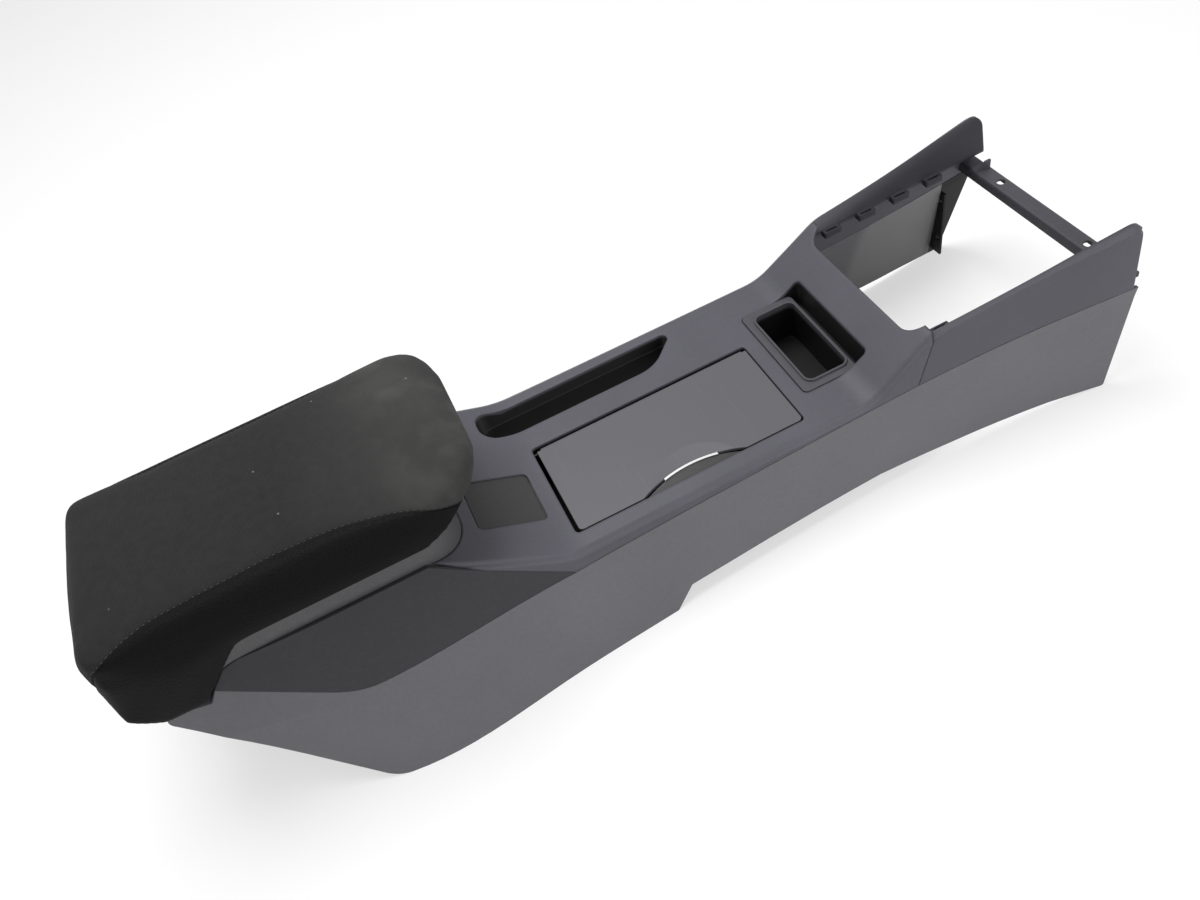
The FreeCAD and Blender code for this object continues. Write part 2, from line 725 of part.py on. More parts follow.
# Liner of the lever slot, open below
liner_low = size("liner_low_z", 52, "lower edge of the lever slot's liner")
liner_outside = upright("liner_outside", slot_line(skirt), liner_low, ring_low - seat)
liner_inside = upright("liner_inside", slot_line(skirt - tray_wall), liner_low - 5, ring_low + 5)
lever_slot_liner = cut("lever_slot_liner", liner_outside, liner_inside)

# Insert tray in front of the lid
insert_top = size("insert_top_z", 107, "top face of the insert tray")
insert_low = size("insert_low_z", 62, "underside of the insert tray")
insert_rim = size("insert_rim", 9, "width of the insert's frame")
insert_rim_front = size("insert_rim_front", 4, "width of the frame at the front")
insert_wall = size("insert_wall", 2, "wall of the insert's pocket")
insert_lip = size("insert_lip", 2, "height of the raised lip round the pocket")
pocket_r = size("pocket_r", 7, "corner radius of the pocket")
step_z = size("insert_step_z", 84, "top of the ledge in the pocket")
step_deep = size("insert_step_deep", 12, "depth of the ledge in the pocket")


def pocket_line(grow):
    low = (insert_back + insert_rim - grow, insert_rim - insert_half - grow)
    high = (insert_front - insert_rim_front + grow, insert_half - insert_rim + grow)
    return rect(low, high, pocket_r + grow)


insert_frame = upright(
    "insert_frame",
    rect((insert_back, -insert_half), (insert_front, insert_half), insert_r),
    insert_top - wall,
    insert_top,
)
insert_tub = upright("insert_tub", pocket_line(insert_wall), insert_low, insert_top + insert_lip)
insert_pocket = upright("insert_pocket", pocket_line(as_size(0)), insert_low + insert_wall, insert_top + 20)
insert_step = box(
    "insert_step",
    (insert_back + insert_rim - 1, insert_rim - insert_half + 8, insert_low + 1),
    (insert_back + insert_rim + step_deep, as_size(0), step_z),
)
insert_solid = fuse("insert_solid", insert_frame, insert_tub)
insert_hollow = cut("insert_hollow", insert_solid, insert_pocket)
insert_bin = fuse("insert_bin", insert_hollow, insert_step)

# Blank plate on the rear ramp, following the ramp's slope
plate_sink = size("plate_sink", 1.5, "depth of the blank plate below the ramp")
plate_t = size("plate_t", 2.5, "thickness of the blank plate")
plate_band = across("plate_band", [
    (ramp_top, ramp_top_z - plate_sink - plate_t),
    (ramp_foot, deck_z - plate_sink - plate_t, ramp_foot_r),
    (lid_back, deck_z - plate_sink - plate_t),
    (lid_back, deck_z - plate_sink),
    (ramp_foot, deck_z - plate_sink, ramp_foot_r),
    (ramp_top, ramp_top_z - plate_sink),
], -wide, wide)
plate_outline = upright("plate_outline", plate_line(as_size(0)), tool_low, tool_high)
blank_plate = common("blank_plate", plate_band, plate_outline)

# Armrest hinge
hinge_x = size("hinge_x", -435, "position of the armrest hinge")
hinge_z = size("hinge_z", 148, "height of the armrest hinge")
hinge_pin_r = size("hinge_pin_r", 3, "radius of the hinge pin")
hinge_run = size("hinge_clearance", 0.05, "running clearance of the hinge pin")
hinge_press = size("hinge_grip", 0.02, "clearance of the pin in the bracket")
eye_r = size("eye_r", 7, "radius of the hinge eyes")
arm_inner = size("arm_inner_y", 48, "inner face of a hinge arm")
arm_t = size("arm_t", 9, "thickness of a hinge arm")
lug_gap = size("lug_gap", 0.5, "clearance between arm and lug")
lug_t = size("lug_t", 6, "thickness of a bracket lug")
bracket_t = size("bracket_t", 3, "thickness of the bracket's foot")
bracket_front = size("bracket_front_x", -405, "front edge of the bracket's foot")
pin_over = size("pin_over", 1.5, "how far the pin stands out of the lugs")
lug_near = arm_inner + arm_t + lug_gap
lug_far = lug_near + lug_t
bracket_foot = box(
    "bracket_foot",
    (tail_end + tail_r, -lug_far, tail_top + seat),
    (bracket_front, lug_far, tail_top + seat + bracket_t),
)
lug_right = across("lug_right", [
    (tail_end + tail_r, tail_top + seat + 1),
    (bracket_front - 4, tail_top + seat + 1),
    (hinge_x + eye_r, hinge_z + eye_r, eye_r * 0.98),
    (hinge_x - eye_r, hinge_z + eye_r, eye_r * 0.98),
    (hinge_x - eye_r, hinge_z - eye_r * 0.6),
], -lug_far, -lug_near)
lug_left = mirror("lug_left", lug_right)
pin_length = (lug_far + pin_over) * 2
hinge_bore = rod("hinge_bore", (hinge_x, -wide, hinge_z), ACROSS, hinge_pin_r + hinge_press, wide * 2)
hinge_run_bore = rod("hinge_run_bore", (hinge_x, -wide, hinge_z), ACROSS, hinge_pin_r + hinge_run, wide * 2)
bracket_solid = fuse("bracket_solid", bracket_foot, lug_right, lug_left)
hinge_bracket = cut("hinge_bracket", bracket_solid, hinge_bore)
hinge_pin = rod("hinge_pin", (hinge_x, -pin_length / 2, hinge_z), ACROSS, hinge_pin_r, pin_length)

# Armrest pan
pan_t = size("pan_t", 3.5, "thickness of the armrest pan")
pan_rest = size("pan_rest", 0.4, "gap between the bin's rim and the closed pan")
pan_front = size("pan_front_x", -157, "front edge of the armrest pan")
pan_half = size("pan_half", 84, "half width of the armrest pan")
pan_front_r = size("pan_front_r", 45, "front corners of the pan")
pan_back_r = size("pan_back_r", 12, "rear corners of the pan")
lip_half = size("lip_half", 38, "half width of the pan's front lip")
lip_low = size("lip_low_z", 183, "lower edge of the pan's front lip")
lip_t = size("lip_t", 3, "thickness of the front lip")
pan_low = bin_top + pan_rest
pan_top = pan_low + pan_t
pan_back = hinge_x - eye_r
pan_plate = upright("pan_plate", [
    (pan_back, -pan_half, pan_back_r),
    (pan_front, -pan_half, pan_front_r),
    (pan_front, pan_half, pan_front_r),
    (pan_back, pan_half, pan_back_r),
], pan_low, pan_top)
pan_lip = box("pan_lip", (pan_front - lip_t, -lip_half, lip_low), (pan_front, lip_half, pan_low + 1))
arm_right = across("arm_right", [
    (hinge_x - eye_r, pan_low + 1),
    (hinge_x - eye_r, hinge_z - eye_r, eye_r * 0.98),
    (hinge_x + eye_r, hinge_z - eye_r, eye_r * 0.98),
    (hinge_x + eye_r, pan_low + 1),
], -arm_inner - arm_t, -arm_inner)
arm_left = mirror("arm_left", arm_right)

# Release button in the pan's lip
button_half = size("button_half", 20, "half width of the release button")
button_low = size("button_low_z", 187, "lower edge of the release button")
button_high = size("button_high_z", 196, "upper edge of the release button")
button_cap = size("button_cap", 5, "thickness of the button's cap")
button_back = size("button_back", 2.5, "thickness of the button's rear flange")
button_run = size("button_clearance", 0.4, "clearance of the button in the lip")
button_flange = size("button_flange", 2, "overlap of the button's rear flange")
button_travel = size("button_travel", 3, "travel of the release button")
button_stem = box(
    "button_stem",
    (pan_front - lip_t - button_run - 1, -button_half, button_low),
    (pan_front + button_travel + button_run + 1, button_half, button_high),
)
button_plate = box(
    "button_plate",
    (pan_front + button_travel + button_run, -button_half - button_flange, button_low - button_flange),
    (
        pan_front + button_travel + button_run + button_cap,
        button_half + button_flange,
        button_high + button_flange,
    ),
)
button_keep = box(
    "button_keep",
    (
        pan_front - lip_t - button_run - button_back,
        -button_half - button_flange,
        button_low - button_flange,
    ),
    (pan_front - lip_t - button_run, button_half + button_flange, button_high + button_flange),
)
button_solid = fuse("button_solid", button_stem, button_plate, button_keep)
button_hole = box(
    "button_hole",
    (pan_front - lip_t - 5, -button_half - button_run, button_low - button_run),
    (pan_front + 5, button_half + button_run, button_high + button_run),
)


def is_button_edge(edge):
    middle = edge.CenterOfMass
    return abs(middle.x - (pan_front + button_travel + button_run + button_cap).value) < 0.01


button_round = size("button_round", 1.2, "rounding of the button's cap")
release_button = rounded("release_button", button_solid, button_round, is_button_edge)
pan_solid = fuse("pan_solid", pan_plate, pan_lip, arm_right, arm_left)
armrest_pan = cut("armrest_pan", pan_solid, hinge_run_bore, button_hole)

# Armrest pad
pad_front = size("pad_front_x", -134, "front end of the pad")
pad_back = size("pad_back_x", -458, "rear end of the pad")
pad_half = size("pad_half", 94, "half width of the pad")
pad_top = size("pad_top_z", 247, "top of the pad")
pad_front_low = size("pad_front_low_z", 207, "lower edge of the pad at the front")
pad_side_low = size("pad_side_low_z", 188, "lower edge of the pad's side bands")
pad_tail_low = size("pad_tail_low_z", 137, "lower edge of the pad over the tail")
pad_tail_back = size("pad_tail_back_z", 160, "lower edge of the pad at the rear end")
pad_tail_front = size("pad_tail_front_x", -401, "front end of the low part over the tail")
pad_band_back = size("pad_band_back_x", -351, "rear end of the level side band")
pad_band_front = size("pad_band_front_x", -193, "front end of the level side band")
pad_nose_x = size("pad_nose_x", -157, "rear end of the nose's lower edge")
pad_nose_r = size("pad_nose_r", 27, "rounding of the nose")
pad_back_top_r = size("pad_back_top_r", 36, "rounding of the pad's rear top")
pad_bend_r = size("pad_bend_r", 14, "rounding of the bends in the lower edge")
pad_plan_front_r = size("pad_plan_front_r", 55, "front corners of the pad seen from above")
pad_plan_back_r = size("pad_plan_back_r", 12, "rear corners of the pad seen from above")
pad_crown = size("pad_crown", 15, "rise of the crown across the pad")
pad_shoulder = pad_top - pad_crown
pad_shoulder_r = size("pad_shoulder_r", 20, "rounding of the pad's side edges")
pad_crown_r = pad_half * pad_half / pad_crown / 2
pad_side = size("pad_side", 7.2, "thickness of the pad's side bands")
pad_side_tool = across("pad_side_tool", [
    (pad_front, pad_front_low, edge_r),
    (pad_front, pad_top - 4, pad_nose_r),
    (pad_back, pad_top, pad_back_top_r),
    (pad_back, pad_tail_back, edge_r),
    (hinge_x, pad_tail_low, pad_bend_r),
    (pad_tail_front, pad_tail_low, pad_bend_r),
    (pad_band_back, pad_side_low, pad_bend_r * 2),
    (pad_band_front, pad_side_low, pad_bend_r),
    (pad_nose_x, pad_front_low, edge_r),
], -wide, wide)
pad_plan_tool = upright("pad_plan_tool", [
    (pad_back, -pad_half, pad_plan_back_r),
    (pad_front, -pad_half, pad_plan_front_r),
    (pad_front, pad_half, pad_plan_front_r),
    (pad_back, pad_half, pad_plan_back_r),
], tool_low, tool_high * 2)
pad_section = outline("pad_section", "YZ", pad_back - 20, [
    (-pad_half, tool_low),
    (pad_half, tool_low),
    (pad_half, pad_shoulder, pad_shoulder_r),
    (0, pad_top, pad_crown_r),
    (-pad_half, pad_shoulder, pad_shoulder_r),
])
pad_crown_tool = prism("pad_crown_tool", pad_section, ALONG, pad_front - pad_back + 40)
pad_block = common("pad_block", pad_side_tool, pad_plan_tool, pad_crown_tool)
pad_hollow = upright("pad_hollow", [
    (pad_back + pad_side * 2, pad_side - pad_half, pan_back_r),
    (pan_front + fit, pad_side - pad_half, pan_front_r),
    (pan_front + fit, pad_half - pad_side, pan_front_r),
    (pad_back + pad_side * 2, pad_half - pad_side, pan_back_r),
], tool_low, pan_top + seat)
notch_over = size("pad_notch_over", 3, "clearance of the pad round the hinge bracket")
pad_notch = box(
    "pad_notch",
    (pad_back - 1, -lug_far - pin_over - notch_over, tool_low),
    (hinge_x, lug_far + pin_over + notch_over, hinge_z + eye_r + notch_over * 3),
)
armrest_pad = cut("armrest_pad", pad_block, pad_hollow, pad_notch)

# Tray lid with hinge bead and finger dish
lid_t = size("lid_t", 3.5, "thickness of the tray lid")
dish_x = size("dish_x", 29, "centre of the finger dish")
dish_long = size("dish_long", 50, "half length of the finger scallop")
dish_deep = size("dish_deep", 13, "depth of the finger scallop")
dish_r = (dish_long * dish_long + dish_deep * dish_deep) / (2 * dish_deep)
lid_line = rect((lid_back, lid_right), (lid_front, lid_left), lid_r)
lid_plate = upright("lid_plate", lid_line, deck_z - lid_t, deck_z)
bead_long = lid_front - lid_back - 2 * lid_r
lid_bead = rod("lid_bead", (lid_back + lid_r, axis_y, axis_z), ALONG, bead_r, bead_long)
dish_y = lid_right + dish_deep - dish_r
lid_scallop = rod("lid_scallop", (dish_x, dish_y, deck_z - 20), UP, dish_r, as_size(40))
lid_edge_cut = box(
    "lid_edge_cut",
    (lid_back - 1, axis_y, deck_z - 20),
    (lid_front + 1, lid_left + 1, deck_z + 1),
)
lid_trimmed = cut("lid_trimmed", lid_plate, lid_edge_cut)
lid_solid = fuse("lid_solid", lid_trimmed, lid_bead)
lid_cut = cut("lid_cut", lid_solid, lid_scallop)
pin_space_back = rod(
    "pin_space_back", (lid_back - 1, axis_y, axis_z), ALONG, lid_pin_r + hinge_press, lid_pin_in + 1)
pin_space_front = rod(
    "pin_space_front",
    (lid_front - lid_pin_in, axis_y, axis_z),
    ALONG,
    lid_pin_r + hinge_press,
    lid_pin_in + 1,
)
hollow_half = size("hollow_half", 45, "radius of the shallow hollow round the scallop")
hollow_deep = size("hollow_deep", 2, "depth of the hollow")
hollow_off = size("hollow_off", 14, "centre of the hollow beyond the lid's right edge")
hollow_r = (hollow_half * hollow_half + hollow_deep * hollow_deep) / (2 * hollow_deep)
finger_hollow = doc.addObject("Part::Sphere", "finger_hollow")
place(finger_hollow, (dish_x, lid_right - hollow_off, deck_z + hollow_r - hollow_deep))
bind(finger_hollow, "Radius", hollow_r)
tray_lid = cut("tray_lid", lid_cut, pin_space_back, pin_space_front, finger_hollow)
lid_pin_back = rod(
    "lid_pin_back", (pin_back, axis_y, axis_z), ALONG, lid_pin_r, lid_back + lid_pin_in - seat - pin_back)
lid_pin_front = rod(
    "lid_pin_front",
    (lid_front - lid_pin_in + seat, axis_y, axis_z),
    ALONG,
    lid_pin_r,
    pin_front - lid_front + lid_pin_in - seat,
)
lid_pins = doc.addObject("Part::Compound", "lid_pins")
lid_pins.Links = [lid_pin_back, lid_pin_front]

# Bright strip along the scallop
strip_half = size("strip_half", 26, "half length of the bright strip")
strip_t = size("strip_t", 2.2, "thickness of the bright strip")
strip_high = size("strip_high", 3.2, "height of the bright strip")
strip_ring_out = rod(
    "strip_ring_out", (dish_x, dish_y, deck_z - lid_t), UP, dish_r - seat, strip_high)
strip_ring_in = rod(
    "strip_ring_in",
    (dish_x, dish_y, deck_z - 20), UP, dish_r - seat - strip_t, as_size(40))
strip_ring = cut("strip_ring", strip_ring_out, strip_ring_in)
strip_window = box(
    "strip_window",
    (dish_x - strip_half, lid_right - 5, deck_z - 20),
    (dish_x + strip_half, lid_right + dish_deep + 5, deck_z + 20),
)
lid_trim = common("lid_trim", strip_ring, strip_window)

NODES = (
    side_panel_left, side_panel_right, rear_cover, shoulder_left, shoulder_right, top_trim,
    cheek_left, cheek_right, front_bridge, lever_slot_liner, tray_box, insert_bin, blank_plate,
    storage_bin, hinge_bracket, hinge_pin, armrest_pan, armrest_pad, release_button,
    tray_lid, lid_trim, lid_pins,
)

doc.recompute()
for item in doc.Objects:
    if "Invalid" in item.State or "Error" in item.State:
        raise ValueError("%s is %s" % (item.Name, item.State))
for node in NODES:
    if node.Shape.isNull() or not node.Shape.isValid() or not node.Shape.Solids:
        raise ValueError("%s has no valid solid" % node.Name)

os.makedirs("parts", exist_ok=True)
for node in NODES:
    node.Shape.exportStep("parts/%s.step" % node.Name)
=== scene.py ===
"""Looks of a tunnel console with a padded armrest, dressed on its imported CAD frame."""
import math

import bmesh
import bpy
from mathutils import Matrix, Vector
from mathutils.bvhtree import BVHTree


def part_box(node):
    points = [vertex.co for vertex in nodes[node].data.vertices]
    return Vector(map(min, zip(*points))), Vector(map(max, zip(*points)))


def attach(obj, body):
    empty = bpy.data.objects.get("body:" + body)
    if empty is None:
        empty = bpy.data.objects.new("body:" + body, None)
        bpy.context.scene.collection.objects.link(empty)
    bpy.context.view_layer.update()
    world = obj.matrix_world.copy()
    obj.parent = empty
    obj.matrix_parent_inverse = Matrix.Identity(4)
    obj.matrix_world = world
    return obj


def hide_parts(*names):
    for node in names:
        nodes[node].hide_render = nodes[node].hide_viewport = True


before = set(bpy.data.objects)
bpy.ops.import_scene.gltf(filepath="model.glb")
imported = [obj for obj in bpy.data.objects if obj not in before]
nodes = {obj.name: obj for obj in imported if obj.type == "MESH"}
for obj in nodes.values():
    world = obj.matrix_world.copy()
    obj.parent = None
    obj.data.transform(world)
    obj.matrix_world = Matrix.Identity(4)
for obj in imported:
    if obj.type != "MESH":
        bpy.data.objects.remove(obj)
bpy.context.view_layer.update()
scene = bpy.context.scene
MM = 0.001


# Shader maths

class Wire:
    """An output socket; arithmetic on it adds Math nodes."""

    def __init__(self, owner, socket):
        self.owner = owner
        self.socket = socket

    def math(self, operation, *values):
        return self.owner.node("ShaderNodeMath", {"operation": operation}, dict(enumerate(values)))

    def __add__(self, other):
        return self.math("ADD", self, other)

    def __sub__(self, other):
        return self.math("SUBTRACT", self, other)

    def __rsub__(self, other):
        return self.math("SUBTRACT", other, self)

    def __mul__(self, other):
        return self.math("MULTIPLY", self, other)

    __radd__ = __add__
    __rmul__ = __mul__

    def sine(self):
        return self.math("SINE", self)

    def size(self):
        return self.math("ABSOLUTE", self)

    def high(self, other):
        return self.math("MAXIMUM", self, other)

    def rise(self, start, end):
        """0 below start, 1 above end, smooth between."""
        inputs = {"Value": self, "From Min": start, "From Max": end}
        return self.owner.node("ShaderNodeMapRange", {"interpolation_type": "SMOOTHSTEP"}, inputs)


class Tree:
    """A node tree that is written as expressions."""

    def __init__(self, tree):
        self.tree = tree

    def feed(self, socket, value):
        if isinstance(value, Wire):
            self.tree.links.new(value.socket, socket)
        else:
            socket.default_value = value

    def node(self, kind, settings, inputs, output=0):
        made = self.tree.nodes.new(kind)
        for name, value in settings.items():
            setattr(made, name, value)
        for name, value in inputs.items():
            self.feed(made.inputs[name], value)
        return Wire(self, made.outputs[output])

    def seen(self):
        """1 for rays from the camera, off gloss and through clear things, 0 for the rest."""
        kinds = ("Is Camera Ray", "Is Glossy Ray", "Is Transmission Ray")
        camera, gloss, clear = (self.node("ShaderNodeLightPath", {}, {}, kind) for kind in kinds)
        return camera.high(gloss).high(clear)


class Look(Tree):
    """A material with its Principled shader."""

    def __init__(self, name):
        self.material = bpy.data.materials.new(name)
        self.material.use_nodes = True
        super().__init__(self.material.node_tree)
        self.shader = self.tree.nodes["Principled BSDF"]
        self.place = self.node("ShaderNodeTexCoord", {}, {}, "Object")

    def set(self, **values):
        for name, value in values.items():
            self.feed(self.shader.inputs[name.replace("_", " ")], value)
        return self

    def mix(self, factor, first, second):
        inputs = {0: factor, 6: first, 7: second}
        return self.node("ShaderNodeMix", {"data_type": "RGBA"}, inputs, 2)

    def noise(self, scale, detail, place=None):
        inputs = {"Vector": place or self.place, "Scale": scale, "Detail": detail}
        return self.node("ShaderNodeTexNoise", {}, inputs)

    def cells(self, scale):
        return self.node("ShaderNodeTexVoronoi", {}, {"Vector": self.place, "Scale": scale})

    def stretched(self, turn, scale):
        inputs = {"Vector": self.place, "Rotation": turn, "Scale": scale}
        return self.node("ShaderNodeMapping", {"vector_type": "POINT"}, inputs)

    def axis(self, name):
        return self.node("ShaderNodeSeparateXYZ", {}, {0: self.place}, name)

    def axes(self):
        return (self.axis(name) for name in "XYZ")

    def bump(self, height, distance, strength=1.0, normal=None):
        inputs = {"Height": height, "Distance": distance, "Strength": strength}
        if normal:
            inputs["Normal"] = normal
        return self.node("ShaderNodeBump", {}, inputs)

    def soft_edges(self, radius):
        return self.node("ShaderNodeBevel", {"samples": 6}, {"Radius": radius})


def linear(shade):
    """Linear value of an 8-bit screen value."""
    share = shade / 255
    return share / 12.92 if shade < 10.3 else ((share + 0.055) / 1.055) ** 2.4


def grey(level, blue=0.0):
    """Linear colour of an 8-bit screen grey, with a little more blue, or less of it."""
    shades = (level, level * (1 - abs(blue) / 8), level * (1 + blue))
    return tuple(linear(shade) for shade in shades) + (1.0,)


def pebbled(name, grain, depth, edge=0.8 * MM):
    """Surface of a moulding: pebbled grain and softened edges."""
    look = Look(name)
    relief = look.cells(grain) * 0.6 + look.noise(grain * 1.7, 2.0) * 0.7
    return look.set(
        Specular_IOR_Level=0.22,
        Normal=look.bump(relief, depth, 0.9, look.soft_edges(edge)),
    )


def patches(look):
    """Slow mottling, and a few rubbed patches."""
    return look.noise(14.0, 4.0), look.noise(5.0, 3.0).rise(0.55, 0.75)


def grained(name, roughness, *surface):
    """A pebbled moulding whose gloss varies in patches."""
    look = pebbled(name, *surface)
    mottle, rubbed = patches(look)
    return look.set(Roughness=roughness + 0.1 * (mottle - 0.5) - 0.06 * rubbed)


def moulded(name, level, blue, *surface):
    """Moulded plastic in one mottled grey."""
    look = grained(name, *surface)
    mottle, rubbed = patches(look)
    fleck = look.noise(260.0, 1.0).rise(0.45, 0.75)
    tone = mottle * 0.6 + fleck * 0.25 + rubbed * 0.15
    return look.set(Base_Color=look.mix(tone, grey(level * 0.9, blue), grey(level * 1.1, blue)))


def flecked(look, slow, low, high, blue):
    """Colour between two greys, by slow mottling and fine flecks."""
    tone = look.noise(14.0, 4.0) * slow + look.noise(260.0, 1.0) * (1 - slow)
    return look.mix(tone, grey(low, blue), grey(high, blue))


def scuffed(name, level, blue):
    """Satin lid: soft grain, hairline scratches and a few wiped patches."""
    look = pebbled(name, 1500.0, 0.012 * MM)
    strokes = look.stretched((0, 0, 0.5), (1.0, 0.03, 1.0))
    hairs = look.noise(420.0, 3.0, strokes).rise(0.6, 0.74)
    patch = look.noise(22.0, 3.0).rise(0.6, 0.78)
    worn = hairs * 0.16 + patch * 0.14
    return look.set(
        Base_Color=look.mix(worn, grey(level, blue), grey(level * 1.25, blue)),
        Roughness=0.4 + 0.12 * patch - 0.08 * hairs,
    )


# Lines of the mouldings, by which the finishes, their painted shade and their painted light change
DECK = 106 * MM
REAR_RAMP_FOOT = -95 * MM
REAR_RAMP_SLOPE = 0.4907
FRONT_RAMP_FOOT = 193 * MM
FRONT_RAMP_SLOPE = 0.703
OPENINGS_HALF = 90 * MM  # the deck's openings lie between these lines
FLANGE_BACK = 418.5 * MM
LEVER_SPACE_BACK = 230 * MM
FRONT_SECTION = 430 * MM  # where the side walls' places below are taken


def wall(x, z, half, height, widening, draft):
    """Half width of a drafted side wall that also widens forwards."""
    return half + (x - FRONT_SECTION) * widening + (height - z) * draft


def insert_finish_and_shade():
    """Insert tray: trim finish on its frame, and painted shade, near black, down in the pocket."""
    look = grained("insert_plastic", 0.45, 1500.0, 0.02 * MM)
    # Painted shade: near black below the deck, in the pocket
    pocket_shade = 1 - look.axis("Z").rise(DECK - 6 * MM, DECK)
    return look.set(Base_Color=look.mix(pocket_shade, grey(70, 0.06), grey(13)))


def trim_finish_and_shade():
    """Soft-touch trim: blue-grey on top, with painted shade, nearly black, down in its openings."""
    look = grained("soft_touch_trim", 0.46, 1500.0, 0.02 * MM, 3.0 * MM)
    x, y, z = look.axes()
    rear = DECK + (REAR_RAMP_FOOT - x) * REAR_RAMP_SLOPE
    front = DECK + (x - FRONT_RAMP_FOOT) * FRONT_RAMP_SLOPE
    # Painted shade: nearly black below the rims of the deck's openings
    below = (rear.high(front).high(DECK) - z).rise(2 * MM, 4 * MM)
    inside = 1 - y.size().rise(OPENINGS_HALF, OPENINGS_HALF + 2.5 * MM)
    top = flecked(look, 0.7, 68, 86, 0.085)
    return look.set(Base_Color=look.mix(below * inside * 0.92, top, grey(17)))


def panel_finish_and_light():
    """Side panels: fine-grained grey, plainer and lighter inside as painted light, with a black front
    return.
    """
    look = grained("grained_panel", 0.56, 900.0, 0.05 * MM)
    x, y, z = look.axes()
    middle = wall(x, z, 111.9 * MM, 95 * MM, 0.0925, 0.1445)
    # Painted light: the inner faces ahead of the lever space get a plain, lighter grey
    inner = (middle - y.size()).rise(-0.5 * MM, 0.5 * MM)
    inner = inner * x.rise(LEVER_SPACE_BACK, LEVER_SPACE_BACK + 10 * MM)
    flange = inner * x.rise(FLANGE_BACK - 0.3 * MM, FLANGE_BACK + 0.3 * MM)
    grain_and_lit_inside = look.mix(inner, flecked(look, 0.6, 88, 106, 0.035), grey(118, 0.01))
    return look.set(Base_Color=look.mix(flange, grain_and_lit_inside, grey(20)))


def cheek_finish_and_shade():
    """Knee trims: the trim's finish on crest and outside, with painted shade darker towards the lever.
    """
    look = grained("cheek_plastic", 0.46, 1500.0, 0.02 * MM, 3.0 * MM)
    x, y, z = look.axes()
    middle = wall(x, z, 111.4 * MM, 104 * MM, 0.095, 0.061)
    # Painted shade: the inner faces darken the further they lie in from the outer wall
    inner = (middle - y.size()).rise(1.5 * MM, 9 * MM)
    top = flecked(look, 0.7, 66, 82, 0.085)
    return look.set(Base_Color=look.mix(inner * 0.85, top, grey(38, 0.1)))


# Finishes of the CAD nodes, with the painted shade and light of the trims, insert and panels
trim_soft = trim_finish_and_shade()
panel_grain = panel_finish_and_light()
cheek_soft = cheek_finish_and_shade()
shoulder_dark = moulded("shoulder_plastic", 54, 0.05, 0.6, 1200.0, 0.04 * MM)
inner_black = moulded("inner_plastic", 15, 0.0, 0.62, 700.0, 0.05 * MM)
bridge_grey = moulded("bridge_plastic", 66, 0.08, 0.5, 900.0, 0.04 * MM)
bin_grey = moulded("bin_plastic", 78, 0.02, 0.52, 1100.0, 0.03 * MM)
lid_satin = scuffed("lid_satin", 86, 0.04)
insert_dark = insert_finish_and_shade()
plate_brown = moulded("plate_plastic", 54, 0.02, 0.5, 1300.0, 0.03 * MM)
bright = Look("bright_strip").set(Base_Color=(0.86, 0.86, 0.87, 1), Metallic=1.0, Roughness=0.12)
steel = Look("brushed_steel")
steel_lines = steel.noise(900.0, 2.0, steel.stretched((0, 0, 0), (1.0, 0.04, 1.0)))
steel.set(
    Base_Color=steel.mix(steel_lines, grey(150), grey(185)),
    Metallic=1.0,
    Roughness=0.28 + 0.16 * steel_lines,
    Normal=steel.bump(steel_lines, 0.01 * MM),
)
dark_steel = Look("dark_steel").set(Base_Color=grey(46), Metallic=1.0, Roughness=0.5)

FINISHES = {
    "side_panel_left": panel_grain,
    "side_panel_right": panel_grain,
    "rear_cover": panel_grain,
    "shoulder_left": shoulder_dark,
    "shoulder_right": shoulder_dark,
    "top_trim": trim_soft,
    "cheek_left": cheek_soft,
    "cheek_right": cheek_soft,
    "front_bridge": bridge_grey,
    "lever_slot_liner": inner_black,
    "tray_box": inner_black,
    "insert_bin": insert_dark,
    "blank_plate": plate_brown,
    "storage_bin": bin_grey,
    "hinge_bracket": steel,
    "hinge_pin": steel,
    "armrest_pan": inner_black,
    "armrest_pad": inner_black,
    "release_button": inner_black,
    "tray_lid": lid_satin,
    "lid_trim": bright,
    "lid_pins": dark_steel,
}


def dress(mesh, look):
    mesh.materials.clear()
    mesh.materials.append(look.material)


for node_name, finish in FINISHES.items():
    dress(nodes[node_name].data, finish)

# Armrest cover: foam pad under a sewn cover
pad_low, pad_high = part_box("armrest_pad")
pan_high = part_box("armrest_pan")[1]
REAR_ROUND = 38 * MM  # plan radius of the rear corners
ROUND_FROM = 158 * MM  # height at which that rounding begins
ROUND_OVER = 65 * MM  # height over which it grows to the full
NOSE_LONG = 45 * MM
NOSE_BULGE = 5 * MM
EVEN_QUADS = 4.5 * MM
SWELL_FRAMES = 20
SWELL_REACH = 3 * MM

# Side seam, as heights along the pad, both in millimetres
SEAM = [
    (-460, 185), (-450, 206), (-444, 217), (-431, 225.5), (-405, 231), (-380, 233), (-300, 234),
    (-250, 233.5), (-226, 231.5), (-194, 226.5), (-173, 218.5), (-154, 206), (-140, 188),
]


def seam_height(x):
    """Height of the seam at a place along the pad, in metres, on a smooth curve through its points."""
    along = min(max(x / MM, SEAM[0][0]), SEAM[-1][0])
    step = max(i for i in range(len(SEAM) - 1) if SEAM[i][0] <= along)
    (a, low), (b, high) = SEAM[step:step + 2]
    before = SEAM[max(step - 1, 0)]
    after = SEAM[min(step + 2, len(SEAM) - 1)]
    start = (high - before[1]) / (b - before[0]) * (b - a)
    end = (after[1] - low) / (after[0] - a) * (b - a)
    u = (along - a) / (b - a)
    curve = (
        low * (2 * u ** 3 - 3 * u ** 2 + 1) + high * (3 * u ** 2 - 2 * u ** 3)
        + start * (u ** 3 - 2 * u ** 2 + u) + end * (u ** 3 - u ** 2)
    )
    return curve * MM


